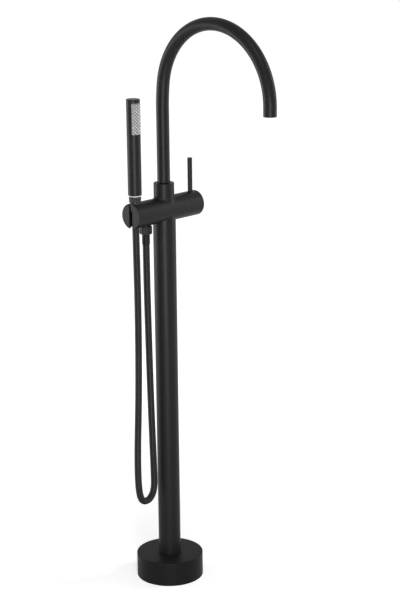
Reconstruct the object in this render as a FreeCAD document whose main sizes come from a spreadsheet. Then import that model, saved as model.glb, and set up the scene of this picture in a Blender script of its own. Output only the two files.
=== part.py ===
"""Floor standing bath filler: a column on a covered floor flange, a horizontal mixer barrel with a
swivelling arched spout, a side lever, a back diverter and a lift-off handset on a hanging hose.

Millimetres. The origin is on the floor under the column's axis, +Z is up, +X runs along the barrel
to the lever, and the spout reaches out along -Y.
"""
import FreeCAD, Part
import math
import os

import Sketcher
from FreeCAD import Placement, Rotation, Vector

os.makedirs("parts", exist_ok=True)
doc = FreeCAD.newDocument("bath_filler")

# ---------------------------------------------------------------- driving dimensions
DIMENSIONS = {
    # whole object
    "total_height": 1150,
    "spout_reach": 280,
    # floor flange and its cover
    "base_radius": 67.5,
    "base_height": 49,
    "base_wall": 1.5,
    "base_edge_round": 2,
    "flange_radius": 58,
    "flange_thickness": 14,
    "boss_radius": 28,
    "boss_top": 40,
    "floor_hole_circle": 45,
    "floor_hole_radius": 4.5,
    "supply_spacing": 11.5,
    "supply_thread_radius": 9.3,
    "supply_thread_depth": 10,
    "cover_hole_radius": 22.9,
    "cover_ring_bore": 22.5,
    "clamp_screw_radius": 3,
    "clamp_screw_height": 27,
    # column
    "column_radius": 22.4,
    "column_wall": 1.5,
    "spigot_length": 34,
    "supply_hose_radius": 5,
    "supply_bore": 3.5,
    # mixer barrel
    "barrel_radius": 24.75,
    "barrel_height": 768.5,
    "barrel_left": 89.2,
    "barrel_seam": 51,
    "barrel_right": 86.6,
    "barrel_edge": 0.6,
    "seam_gap": 0.4,
    "junction_round": 5.5,
    # lever
    "lever_place": 71.6,
    "lever_radius": 4.75,
    "lever_top": 860.2,
    "spindle_radius": 4.5,
    "cartridge_radius": 17.5,
    "cartridge_start": 15,
    "cartridge_end": 41,
    # collar and spout
    "collar_radius": 20.2,
    "collar_seam": 805,
    "collar_top": 821.6,
    "collar_edge": 0.8,
    "collar_thread_radius": 17,
    "spout_radius": 12.5,
    "spout_wall": 1.5,
    "spout_foot": 795,
    "spout_lead_radius": 393,
    "spout_arc_radius": 139,
    "spout_tail": 17.7,
    "seal_bore": 12,
    "swing_stop": 90,
    # diverter, at the back of the barrel
    "diverter_place": 25,
    "diverter_bore": 8.5,
    "diverter_stem_radius": 2.5,
    "diverter_knob_radius": 7.5,
    "diverter_travel": 8,
    # shower outlet under the barrel
    "outlet_place": 50.2,
    "outlet_nut_flats": 22,
    "outlet_nut_top": 743.5,
    "outlet_nut_bottom": 728,
    "outlet_thread_radius": 9.3,
    "ferrule_radius": 7.75,
    "ferrule_bottom": 707,
    # handset and its holder
    "holder_place": 77,
    "holder_slot": 9.5,
    "seat_clearance": 0.1,
    "cone_bottom": 777,
    "cone_top": 806.5,
    "cone_small_radius": 9.25,
    "cone_large_radius": 11.75,
    "handset_thread_radius": 10.4,
    "ring_radius": 12,
    "handset_bottom": 808.5,
    "handset_top": 993.4,
    "handset_radius": 13.25,
    "handset_wall": 2,
    "spray_bottom": 926.7,
    "spray_top": 986.5,
    "spray_half_angle": 58,
    # shower hose
    "hose_radius": 7,
    "hose_bore": 4,
}

sheet = doc.addObject("Spreadsheet::Sheet", "Dims")
for row, (alias, number) in enumerate(DIMENSIONS.items(), start=1):
    sheet.set(f"A{row}", alias)
    sheet.set(f"B{row}", str(number))
    sheet.setAlias(f"B{row}", alias)
doc.recompute()

FIT = 0.05  # gap left between two pieces of one body that screw or push together

# The direction that a piece's own +Z axis is turned to.
TURNS = {
    "+Z": Rotation(),
    "-Z": Rotation(Vector(1, 0, 0), 180),
    "+X": Rotation(Vector(0, 1, 0), 90),
    "-X": Rotation(Vector(0, 1, 0), -90),
    "+Y": Rotation(Vector(1, 0, 0), -90),
    "-Y": Rotation(Vector(1, 0, 0), 90),
}


def dim(alias):
    """The value of one driving dimension."""
    return float(sheet.get(alias))


def bind(obj, field, formula):
    """Binds a property to a formula in the sheet's aliases; a plain number is set as it is."""
    if isinstance(formula, str):
        obj.setExpression(field, sized(formula))
    else:
        setattr(obj, field, formula)


def sized(formula):
    """The formula with each alias named as the sheet's own."""
    words = "".join(c if c.isalnum() or c == "_" else " " for c in formula).split()
    for word in sorted(set(words), key=len, reverse=True):
        if word in DIMENSIONS:
            formula = replaced(formula, word)
    return formula


def replaced(formula, word):
    """The formula with one whole word given the sheet's name."""
    kept, rest = "", formula
    while word in rest:
        at = rest.index(word)
        before = rest[at - 1] if at else " "
        after = rest[at + len(word)] if at + len(word) < len(rest) else " "
        whole = not (before.isalnum() or before in "_.") and not (after.isalnum() or after == "_")
        kept += rest[:at] + ("Dims." + word if whole else word)
        rest = rest[at + len(word):]
    return kept + rest


def place(obj, at, axis="+Z"):
    """Puts a piece's own origin at a point of three formulas; axis is a name in TURNS or a Rotation."""
    obj.Placement = Placement(Vector(), axis if isinstance(axis, Rotation) else TURNS[axis])
    for letter, formula in zip("xyz", at):
        obj.setExpression(f"Placement.Base.{letter}", sized(str(formula)))
    return obj


def spin(angle):
    """A turn about the vertical."""
    return Rotation(Vector(0, 0, 1), angle)


def around(radius, angle, height):
    """The point at a radius and an angle about the vertical axis, as three formulas."""
    return f"({radius}) * cos({angle})", f"({radius}) * sin({angle})", height


def rod(name, radius, length, at=(0, 0, 0), axis="+Z"):
    """A plain cylinder that starts at a point and runs along axis."""
    made = doc.addObject("Part::Cylinder", name)
    bind(made, "Radius", radius)
    bind(made, "Height", length)
    return place(made, at, axis)


def taper(name, first, last, length, at=(0, 0, 0), axis="+Z"):
    """A cone's frustum, first radius at the point, last radius at its far end."""
    made = doc.addObject("Part::Cone", name)
    bind(made, "Radius1", first)
    bind(made, "Radius2", last)
    bind(made, "Height", length)
    return place(made, at, axis)


def block(name, size, at):
    """A box by its three sides and its lowest corner."""
    made = doc.addObject("Part::Box", name)
    for field, formula in zip(("Length", "Width", "Height"), size):
        bind(made, field, formula)
    return place(made, at)


def hexagon(name, half_flats, height, at=(0, 0, 0), axis="+Z"):
    """A hexagonal prism by half its width over flats."""
    made = doc.addObject("Part::Prism", name)
    made.Polygon = 6
    bind(made, "Circumradius", f"({half_flats}) / cos(30)")
    bind(made, "Height", height)
    return place(made, at, axis)


def fused(name, pieces):
    made = doc.addObject("Part::MultiFuse", name)
    made.Shapes = pieces
    made.Refine = True
    return made


def cut(name, base, tools):
    made = doc.addObject("Part::Cut", name)
    made.Base = base
    made.Tool = tools[0] if len(tools) == 1 else fused(name + "_tools", tools)
    made.Refine = True
    return made


def group(name, pieces):
    """Several like solids kept apart in one node."""
    made = doc.addObject("Part::Compound", name)
    made.Links = pieces
    return made


def turned(name, profile, at=(0, 0, 0), axis="+Z"):
    """A body turned on a lathe: the profile is a closed outline of (radius, height) formulas."""
    body = doc.addObject("PartDesign::Body", name)
    plane = [p for p in body.Origin.OriginFeatures if p.Role == "XZ_Plane"][0]
    sketch = body.newObject("Sketcher::SketchObject", name + "_profile")
    sketch.AttachmentSupport = (plane, [""])
    sketch.MapMode = "FlatFace"
    corners = [(value(r), value(h)) for r, h in profile]
    count = len(corners)
    for i in range(count):
        start, end = corners[i], corners[(i + 1) % count]
        sketch.addGeometry(Part.LineSegment(Vector(*start, 0), Vector(*end, 0)))
    for i in range(count):
        sketch.addConstraint(Sketcher.Constraint("Coincident", i, 2, (i + 1) % count, 1))
    for i, formulas in enumerate(profile):
        for kind, number, formula in zip(("DistanceX", "DistanceY"), corners[i], formulas):
            index = sketch.addConstraint(Sketcher.Constraint(kind, -1, 1, i, 1, number))
            if isinstance(formula, str):
                sketch.setExpression(f"Constraints[{index}]", sized(formula))
    turn = body.newObject("PartDesign::Revolution", name + "_turned")
    turn.Profile = sketch
    turn.ReferenceAxis = (sketch, ["V_Axis"])
    turn.Angle = 360
    body.Tip = turn
    return place(body, at, axis)


def value(formula):
    """What a formula comes to, for a first position that the sketch then keeps by its own formula."""
    if not isinstance(formula, str):
        return float(formula)
    trial = scratch.get(formula)
    if trial is None:
        probe.setExpression("Number", sized(formula))
        probe.recompute()
        trial = scratch[formula] = float(probe.Number)
    return trial


scratch = {}
probe = doc.addObject("App::FeaturePython", "probe")
probe.addProperty("App::PropertyFloat", "Number")


def tube(name, outer, inner, length, at=(0, 0, 0), axis="+Z"):
    """A straight pipe or ring by its two radii and its length."""
    return turned(name, [(inner, 0), (outer, 0), (outer, length), (inner, length)], at, axis)


def circles_at(shape, height, radius):
    """Names of the shape's circular edges at a height with a radius."""
    found = []
    for i, edge in enumerate(shape.Edges, start=1):
        curve = edge.Curve
        round_edge = isinstance(curve, Part.Circle)
        if round_edge and abs(curve.Radius - radius) < 0.01 and abs(curve.Center.z - height) < 0.01:
            found.append(f"Edge{i}")
    return found


def rounded(body, height, radius, round_radius):
    """Rounds a turned body's circular edge; height and radius are the body's own."""
    doc.recompute()
    base = body.Tip
    fillet = body.newObject("PartDesign::Fillet", body.Name + "_round")
    fillet.Base = (base, circles_at(base.Shape, value(height), value(radius)))
    bind(fillet, "Radius", round_radius)
    body.Tip = fillet
    return body


NODES = {}


def node(name, obj):
    """Names a finished piece."""
    obj.Label = name
    NODES[name] = obj
    return obj


# ---------------------------------------------------------------- floor flange and base cover
def floor_flange():
    """Steel flange bolted to the floor, with a clamping boss for the column and two supply threads."""
    plate = turned("flange_blank", [
        (0, 0), ("flange_radius", 0), ("flange_radius", "flange_thickness - 2"),
        ("flange_radius - 2", "flange_thickness"), ("boss_radius", "flange_thickness"),
        ("boss_radius", "boss_top"), (f"column_radius + {FIT}", "boss_top"),
        (f"column_radius + {FIT}", "flange_thickness"), (0, "flange_thickness")])
    holes = []
    for i in range(4):
        holes.append(rod(f"floor_hole_{i}", "floor_hole_radius", "flange_thickness + 2",
                         around("floor_hole_circle", 45 + 90 * i, -1)))
    for side, sign in (("hot", ""), ("cold", "-")):
        y = f"{sign}supply_spacing"
        holes.append(rod(f"{side}_port", "supply_thread_radius", "supply_thread_depth + 1", (0, y, -1)))
        holes.append(rod(f"{side}_port_way", "supply_bore + 1.5", "flange_thickness", (0, y, 1)))
    for i in range(3):
        holes.append(rod(f"clamp_hole_{i}", f"clamp_screw_radius + {FIT}", "boss_radius",
                         (0, 0, "clamp_screw_height"), spin(90 + 120 * i) * TURNS["+X"]))
    node("floor_flange", cut("floor_flange_cut", plate, holes))


def clamp_screws():
    """Three socket set screws that pinch the column in the flange's boss."""
    screws = []
    for i in range(3):
        angle = 90 + 120 * i
        turn = spin(angle) * TURNS["+X"]
        blank = rod(f"clamp_blank_{i}", "clamp_screw_radius", "boss_radius - column_radius - 0.5",
                    around(f"column_radius + {FIT}", angle, "clamp_screw_height"), turn)
        socket = hexagon(f"clamp_socket_{i}", 1.5, 4,
                         around("boss_radius - 3", angle, "clamp_screw_height"), turn)
        screws.append(cut(f"clamp_screw_{i}", blank, [socket]))
    node("column_clamp_screws", group("column_clamp_screws_group", screws))


def base_cover():
    """Spun cover that hides the flange and slides up the column, with a rubber ring round its hole."""
    cover = turned("base_cover_body", [
        ("base_radius - base_wall", 0), ("base_radius", 0), ("base_radius", "base_height"),
        ("cover_hole_radius", "base_height"), ("cover_hole_radius", "base_height - base_wall"),
        ("base_radius - base_wall", "base_height - base_wall")])
    rounded(cover, "base_height", "base_radius", "base_edge_round")
    node("base_cover", cover)
    ring = tube("cover_ring_body", "cover_hole_radius + 3", "cover_ring_bore", 3,
                (0, 0, "base_height - base_wall - 3"))
    node("base_cover_ring", ring)


def supply():
    """Two braided supply hoses that run up inside the column, with their unions and strainers."""
    bottom = "flange_thickness"
    top = "barrel_height - barrel_radius - spigot_length"
    lower, upper, strainers = [], [], []
    for side, sign in (("hot", ""), ("cold", "-")):
        y = f"{sign}supply_spacing"
        lower.append(turned(f"{side}_lower_union", [
            ("supply_bore", 0), ("supply_bore + 1.4", 0), ("supply_bore + 1.4", 3),
            ("supply_hose_radius + 2", 3), ("supply_hose_radius + 2", 15),
            ("supply_hose_radius + 1", 27), ("supply_bore", 27)],
            (0, y, f"{bottom} - 3")))
        upper.append(turned(f"{side}_upper_union", [
            ("supply_bore", 0), ("supply_hose_radius + 1", 0), ("supply_hose_radius + 2", 12),
            ("supply_hose_radius + 2", 24), ("supply_bore", 24)], (0, y, f"{top} - 24")))
        hose = tube(f"{side}_supply", "supply_hose_radius", "supply_bore",
                    f"{top} - 24 - ({bottom} + 24)", (0, y, f"{bottom} + 24"))
        node(f"{side}_supply_hose", hose)
        strainers.append(tube(f"{side}_strainer", f"supply_bore + 1.5 - {FIT}", 2, 0.9,
                              (0, y, f"supply_thread_depth + {FIT}")))
    node("lower_hose_unions", group("lower_hose_unions_group", lower))
    node("upper_hose_unions", group("upper_hose_unions_group", upper))
    node("inlet_strainers", group("inlet_strainers_group", strainers))


def column():
    """Steel column tube, its top cut to the barrel's round, held on the body's spigot by two screws."""
    pipe = tube("column_blank", "column_radius", "column_radius - column_wall",
                "barrel_height - flange_thickness", (0, 0, "flange_thickness"))
    saddle = rod("column_saddle", f"barrel_radius + {FIT}", "2 * barrel_radius + 10",
                 ("-barrel_radius - 5", 0, "barrel_height"), "+X")
    holes, screws = [], []
    height = "barrel_height - barrel_radius - 20"
    for i, angle in enumerate((55, 125)):
        turn = spin(angle) * TURNS["+X"]
        holes.append(rod(f"top_screw_hole_{i}", 2.5 + FIT, 9,
                         around("column_radius - 6.5", angle, height), turn))
        screws.append(rod(f"top_screw_{i}", 2.5, 6, around("column_radius - 6.2", angle, height), turn))
    node("column_tube", cut("column_cut", pipe, [saddle] + holes))
    node("column_top_screws", group("column_top_screws_group", screws))
    return holes


# ---------------------------------------------------------------- mixer body
def mixer_body(screw_holes):
    """Cast body: the barrel, the neck for the spout, the spigot in the column and all waterways."""
    axis = "barrel_height"
    barrel = turned("barrel_blank", [
        (0, 0), ("barrel_radius - barrel_edge", 0), ("barrel_radius", "barrel_edge"),
        ("barrel_radius", "barrel_left + barrel_seam"), (0, "barrel_left + barrel_seam")],
        ("-barrel_left", 0, axis), "+X")
    neck = rod("neck_blank", "collar_radius", f"collar_seam - {axis}", (0, 0, axis))
    spigot = turned("spigot_blank", [
        (0, 0), (f"column_radius - column_wall - {FIT} - 1", 0), (f"column_radius - column_wall - {FIT}", 1),
        (f"column_radius - column_wall - {FIT}", 5), ("column_radius - column_wall - 1.8", 5),
        ("column_radius - column_wall - 1.8", 8), (f"column_radius - column_wall - {FIT}", 8),
        (f"column_radius - column_wall - {FIT}", "spigot_length + 10"), (0, "spigot_length + 10")],
        (0, 0, f"{axis} - barrel_radius - spigot_length"))
    outside = fused("body_outside", [barrel, neck, spigot])
    doc.recompute()
    soft = doc.addObject("Part::Fillet", "body_soft")
    soft.Base = outside
    soft.Edges = [(i, dim("junction_round"), dim("junction_round")) for i in neck_edges(outside.Shape)]

    tools = list(screw_holes)
    # cartridge chamber, and the thread of its ring nut
    tools.append(rod("cartridge_chamber", f"cartridge_radius + {FIT}", "barrel_seam - cartridge_start + 1",
                     ("cartridge_start", 0, axis), "+X"))
    tools.append(rod("ring_nut_thread", "cartridge_radius + 2", "barrel_seam - cartridge_end + 1",
                     ("cartridge_end", 0, axis), "+X"))
    # supply ways: up the spigot, then along to the cartridge's foot
    for side, sign in (("hot", ""), ("cold", "-")):
        y = f"{sign}supply_spacing"
        tools.append(rod(f"{side}_way_up", "supply_bore", "barrel_radius + spigot_length + 1",
                         (0, y, f"{axis} - barrel_radius - spigot_length - 1"), "+Z"))
        tools.append(rod(f"{side}_way_along", "supply_bore", "cartridge_start + 1", (0, y, axis), "+X"))
    # mixed water: from the cartridge back to the diverter's chamber
    tools.append(rod("mixed_way", "supply_bore + 1", "cartridge_start + diverter_place + 1",
                     ("cartridge_start + 1", 0, axis), "-X"))
    tools.append(rod("diverter_chamber", "diverter_bore", "barrel_radius + 6 + 1",
                     ("-diverter_place", -6, axis), "+Y"))
    tools.append(rod("diverter_seat", 6, 8, ("-diverter_place", -13, axis), "+Y"))
    # from the chamber's back end to the spout, and from its front end to the shower outlet
    tools.append(slanted("spout_way", 3, (-dim("diverter_place"), 9.5, 4.5), (-6.5, 7.5, 9.5)))
    tools.append(slanted("shower_way", 3, (-dim("diverter_place"), -9.5, 0), (-dim("outlet_place"), 0, 0)))
    tools.append(rod("seal_bore_cut", "seal_bore", "collar_seam - spout_foot + 21",
                     (0, 0, "spout_foot - 20")))
    tools.append(rod("neck_thread", "collar_thread_radius", "collar_seam - spout_foot + 6",
                     (0, 0, "spout_foot - 5")))
    tools.append(rod("shower_way_down", 5, "barrel_radius + 1",
                     ("-outlet_place", 0, f"{axis} - barrel_radius - 1")))
    tools.append(rod("outlet_thread", f"outlet_thread_radius + {FIT}", 9,
                     ("-outlet_place", 0, f"{axis} - barrel_radius - 1")))
    # the stop screw's hole in the back of the neck
    tools.append(rod("stop_screw_hole", f"2 + {FIT}", "collar_radius", (0, 2, "spout_foot - 2.5"), "+Y"))
    # handset holder: a tapered seat through the barrel, open to the end by a slot
    seat_x = "-holder_place"
    seat_radius = "cone_small_radius + seat_clearance"
    below = f"{axis} - barrel_radius - 5"
    tools.append(rod("seat_bore", seat_radius, f"cone_bottom - ({below})", (seat_x, 0, below)))
    slope = "(cone_large_radius - cone_small_radius) / (cone_top - cone_bottom)"
    tools.append(taper("seat_taper", seat_radius, f"{seat_radius} + {slope} * 25", 25,
                       (seat_x, 0, "cone_bottom")))
    slot_size = ("barrel_left - holder_place + 5", "holder_slot", "2 * barrel_radius + 10")
    tools.append(block("seat_slot", slot_size, ("-barrel_left - 5", "-holder_slot / 2", below)))
    node("mixer_body", cut("mixer_body_cut", soft, tools))


def slanted(name, radius, start, end):
    """A drilled way between two points, their heights measured from the barrel's axis."""
    run = Vector(*end) - Vector(*start)
    way = Rotation(Vector(0, 0, 1), run)
    return rod(name, radius, run.Length, (start[0], start[1], f"barrel_height + {start[2]}"), way)


def neck_edges(shape):
    """Numbers of the edges where the neck meets the barrel."""
    found = []
    for i, edge in enumerate(shape.Edges, start=1):
        box = edge.BoundBox
        above = box.ZMin > dim("barrel_height") + 5 and box.ZMax < dim("collar_seam") - 1
        if above and box.XLength > 5 and box.YLength > 5 and not isinstance(edge.Curve, Part.Line):
            found.append(i)
    return found


def spigot_ring():
    """Rubber ring in the spigot's groove that keeps the column tight on it."""
    inside = "column_radius - column_wall"
    ring = tube("spigot_ring_body", f"{inside} - {FIT}", f"{inside} - 1.7", 2.6,
                (0, 0, "barrel_height - barrel_radius - spigot_length + 5.2"))
    node("spigot_o_ring", ring)


# ---------------------------------------------------------------- cartridge and lever
def cartridge():
    """Progressive ceramic cartridge: one turn of its spindle runs from off through cold to hot."""
    axis = "barrel_height"
    length = "cartridge_end - cartridge_start"
    housing = turned("cartridge_shell", [
        ("cartridge_radius - 2.5", 0), ("cartridge_radius", 0), ("cartridge_radius", f"{length}"),
        ("spindle_radius + 0.4", f"{length}"), ("spindle_radius + 0.4", f"{length} - 6"),
        ("cartridge_radius - 2.5", f"{length} - 6")], ("cartridge_start", 0, axis), "+X")
    node("cartridge_housing", housing)

    ways = []
    for name, y, z in (("hot", 11.5, 0), ("cold", -11.5, 0), ("mixed", 0, 0)):
        ways.append(rod(f"disc_way_{name}", 2.6, 8, ("cartridge_start - 1", y, f"{axis} + {z}"), "+X"))
    blank = rod("fixed_disc_blank", f"cartridge_radius - 2.5 - {FIT}", 5,
                ("cartridge_start + 1.2", 0, axis), "+X")
    node("fixed_ceramic_disc", cut("fixed_disc_cut", blank, ways))

    rings = []
    for name, y in (("hot", 11.5), ("cold", -11.5), ("mixed", 0)):
        rings.append(tube(f"port_ring_{name}", 3.3, 2.6, 1.1, ("cartridge_start + 0.05", y, axis), "+X"))
    node("cartridge_port_seals", group("port_seals_group", rings))

    thread = f"cartridge_radius + 2 - {FIT}"
    nut = turned("ring_nut_body", [
        ("spindle_radius + 4", 0), (thread, 0), (thread, 8), ("cartridge_radius - 1", 9.4),
        ("spindle_radius + 4", 9.4)], (f"cartridge_end + {FIT}", 0, axis), "+X")
    slot = block("ring_nut_slot", (3, 4, 60), ("barrel_seam - 3", -2, f"{axis} - 30"))
    node("cartridge_ring_nut", cut("ring_nut_cut", nut, [slot]))

    # the turning pieces: a disc with its window, and the spindle that drives it
    disc = rod("moving_disc_blank", "cartridge_radius - 3", 4, ("cartridge_start + 6.25", 0, axis), "+X")
    window = block("moving_disc_window", (8, 5, 11), ("cartridge_start + 4", -2.5, f"{axis} - 1"))
    node("moving_ceramic_disc", cut("moving_disc_cut", disc, [window]))
    spindle = turned("spindle_body", [
        (0, 0), ("cartridge_radius - 3.5", 0), ("cartridge_radius - 3.5", 5), ("spindle_radius", 7),
        ("spindle_radius", "lever_place - cartridge_start - 6"), (0, "lever_place - cartridge_start - 6")],
        ("cartridge_start + 10.3", 0, axis), "+X")
    flat = block("spindle_flat", (12, 12, 3), ("lever_place - 7", -6, f"{axis} - spindle_radius - 2.2"))
    node("cartridge_spindle", cut("spindle_cut", spindle, [flat]))


def lever():
    """Hub flush with the barrel, turned with the upright pin that is screwed into its top."""
    axis = "barrel_height"
    start = "barrel_seam + seam_gap"
    length = "barrel_right - barrel_seam - seam_gap"
    blank = turned("hub_blank", [
        ("spindle_radius + 0.05", 9), ("barrel_radius - 4", 9), ("barrel_radius - 4", 0),
        ("barrel_radius - 0.3", 0), ("barrel_radius", 0.3), ("barrel_radius", f"{length} - 1.4"),
        ("barrel_radius - 0.4", f"{length} - 0.4"), ("barrel_radius - 1.4", length), (0, length),
        (0, f"{length} - 8"), ("spindle_radius + 0.05", f"{length} - 8")], (start, 0, axis), "+X")
    pin_hole = rod("pin_hole", 3 + FIT, 14, ("lever_place", 0, f"{axis} + barrel_radius - 13"))
    grub_hole = rod("grub_hole", 2.5 + FIT, "barrel_radius",
                    ("lever_place - 3", 0, f"{axis} - barrel_radius"))
    node("lever_hub", cut("hub_cut", blank, [pin_hole, grub_hole]))

    foot = f"{axis} + barrel_radius"
    tip = f"lever_top - ({foot})"
    pin = turned("lever_pin_body", [
        (0, -12), (3, -12), (3, 0.3), ("lever_radius", 0.3), ("lever_radius", f"{tip} - 0.5"),
        ("lever_radius - 0.5", tip), (0, tip)], ("lever_place", 0, foot))
    node("lever_pin", pin)

    grub = rod("grub_blank", 2.5, 12, ("lever_place - 3", 0, f"{axis} - barrel_radius + 9"))
    socket = hexagon("grub_socket", 1.25, 4, ("lever_place - 3", 0, f"{axis} - barrel_radius + 8"))
    node("lever_grub_screw", cut("grub_cut", grub, [socket]))


# ---------------------------------------------------------------- spout
def spout():
    """Arched spout tube, brazed to a turned foot that swivels on seals in the neck."""
    body = doc.addObject("PartDesign::Body", "spout_body")
    planes = {p.Role: p for p in body.Origin.OriginFeatures}
    path = body.newObject("Sketcher::SketchObject", "spout_path")
    path.AttachmentSupport = (planes["YZ_Plane"], [""])
    path.MapMode = "FlatFace"
    reach, foot = dim("spout_reach"), dim("spout_foot")
    lead, arc, tail = dim("spout_lead_radius"), dim("spout_arc_radius"), dim("spout_tail")
    centre = Vector(arc - reach, dim("total_height") - dim("spout_radius") - arc, 0)
    turn = math.acos((lead + arc - reach) / (lead - arc))
    lead_centre = Vector(-lead, centre.y - (lead - arc) * math.sin(turn), 0)
    up = Vector(0, 0, 1)
    path.addGeometry(Part.LineSegment(Vector(0, foot, 0), Vector(0, lead_centre.y, 0)))
    path.addGeometry(Part.ArcOfCircle(Part.Circle(lead_centre, up, lead), 0, turn))
    path.addGeometry(Part.ArcOfCircle(Part.Circle(centre, up, arc), turn, math.pi))
    path.addGeometry(Part.LineSegment(Vector(-reach, centre.y, 0), Vector(-reach, centre.y - tail, 0)))
    path.addConstraint(Sketcher.Constraint("PointOnObject", 0, 1, -2))
    path.addConstraint(Sketcher.Constraint("Vertical", 0))
    path.addConstraint(Sketcher.Constraint("Tangent", 0, 2, 1, 1))
    path.addConstraint(Sketcher.Constraint("Tangent", 1, 2, 2, 1))
    path.addConstraint(Sketcher.Constraint("Tangent", 2, 2, 3, 1))
    path.addConstraint(Sketcher.Constraint("Vertical", 3))
    sizes = [
        (("DistanceY", -1, 1, 0, 1, foot), "spout_foot"),
        (("Radius", 1, lead), "spout_lead_radius"),
        (("Radius", 2, arc), "spout_arc_radius"),
        (("DistanceX", -1, 1, 2, 3, centre.x), "spout_arc_radius - spout_reach"),
        (("DistanceY", -1, 1, 2, 3, centre.y), "total_height - spout_radius - spout_arc_radius"),
        (("DistanceY", 3, 2, 3, 1, tail), "spout_tail"),
    ]
    for constraint, formula in sizes:
        index = path.addConstraint(Sketcher.Constraint(*constraint))
        path.setExpression(f"Constraints[{index}]", sized(formula))
    ring = body.newObject("Sketcher::SketchObject", "spout_section")
    ring.AttachmentSupport = (planes["XY_Plane"], [""])
    ring.MapMode = "FlatFace"
    ring.setExpression("AttachmentOffset.Base.z", sized("spout_foot"))
    for i, formula in enumerate(("spout_radius", "spout_radius - spout_wall")):
        ring.addGeometry(Part.Circle(Vector(0, 0, 0), up, value(formula)))
        ring.addConstraint(Sketcher.Constraint("Coincident", i, 3, -1, 1))
        index = ring.addConstraint(Sketcher.Constraint("Radius", i, value(formula)))
        ring.setExpression(f"Constraints[{index}]", sized(formula))
    doc.recompute()
    sweep = body.newObject("PartDesign::AdditivePipe", "spout_sweep")
    sweep.Profile = ring
    sweep.Spine = (path, [])
    sweep.Mode = "Frenet"
    body.Tip = sweep
    node("spout_tube", body)

    inside = "spout_radius - spout_wall"
    adapter = turned("adapter_blank", [
        (7, -16.5), ("seal_bore - 0.1", -16.5), ("seal_bore - 0.1", -15), ("seal_bore - 1.6", -15),
        ("seal_bore - 1.6", -12), ("seal_bore - 0.1", -12), ("seal_bore - 0.1", -9), ("seal_bore - 1.6", -9),
        ("seal_bore - 1.6", -6), ("seal_bore - 0.1", -6), ("seal_bore - 0.1", -4.6),
        ("collar_thread_radius - 1.6", -4.6), ("collar_thread_radius - 1.6", 0), (f"{inside} - {FIT}", 0),
        (f"{inside} - {FIT}", 16), (7, 16)], (0, 0, "spout_foot"))
    notch_turn = value("swing_stop + 10")
    notch = rod("stop_notch_outer", 20, 8, (0, 0, "spout_foot - 6"), spin(90 - notch_turn))
    notch.Angle = 2 * notch_turn
    core = rod("stop_notch_core", "seal_bore + 1", 10, (0, 0, "spout_foot - 7"))
    node("spout_adapter", cut("adapter_cut", adapter, [cut("stop_notch", notch, [core])]))

    seals = []
    for i, z in enumerate((-14.8, -8.8)):
        seals.append(tube(f"spout_seal_{i}", "seal_bore - 0.05", "seal_bore - 1.55", 2.6,
                          (0, 0, f"spout_foot + {z}")))
    node("spout_o_rings", group("spout_o_rings_group", seals))

    washer = tube("glide_washer_body", "collar_thread_radius - 0.6", "spout_radius + 0.3", 1.4,
                  (0, 0, "spout_foot + 0.3"))
    node("spout_glide_washer", washer)
    nut = turned("collar_nut_body", [
        ("spout_radius + 0.5", "spout_foot + 1.75"), (f"collar_thread_radius - {FIT}", "spout_foot + 1.75"),
        (f"collar_thread_radius - {FIT}", "collar_seam"), ("collar_radius - 0.3", "collar_seam + 0.05"),
        ("collar_radius", "collar_seam + 0.35"), ("collar_radius", "collar_top - collar_edge"),
        ("collar_radius - collar_edge", "collar_top"), ("spout_radius + 0.9", "collar_top"),
        ("spout_radius + 0.5", "collar_top - 0.4")])
    node("spout_collar_nut", nut)
    stop = rod("stop_screw_body", 2, 5.2, (0, 14, "spout_foot - 2.5"), "+Y")
    node("spout_stop_screw", stop)

    # the aerator screwed into the outlet end
    end = "total_height - spout_radius - spout_arc_radius - spout_tail"
    housing = turned("aerator_shell", [
        (f"{inside} - 1.6", 0.6), (f"{inside} - {FIT}", 0.6), (f"{inside} - {FIT}", 11),
        (f"{inside} - 3", 11), (f"{inside} - 3", 9.5), (f"{inside} - 1.6", 9.5)],
        (0, "-spout_reach", end))
    node("aerator_housing", housing)
    insert = rod("aerator_blank", f"{inside} - 1.65", 8, (0, "-spout_reach", f"{end} + 1.2"))
    ways = []
    for ring_radius, count in ((0, 1), (3.2, 6), (6.6, 12)):
        for i in range(count):
            angle = 360 * i / count
            ways.append(rod(f"aerator_way_{count}_{i}", 1.15, 10,
                            (f"{ring_radius} * cos({angle})", f"{ring_radius} * sin({angle}) - spout_reach",
                             f"{end}")))
    node("aerator_insert", cut("aerator_cut", insert, ways))


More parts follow.
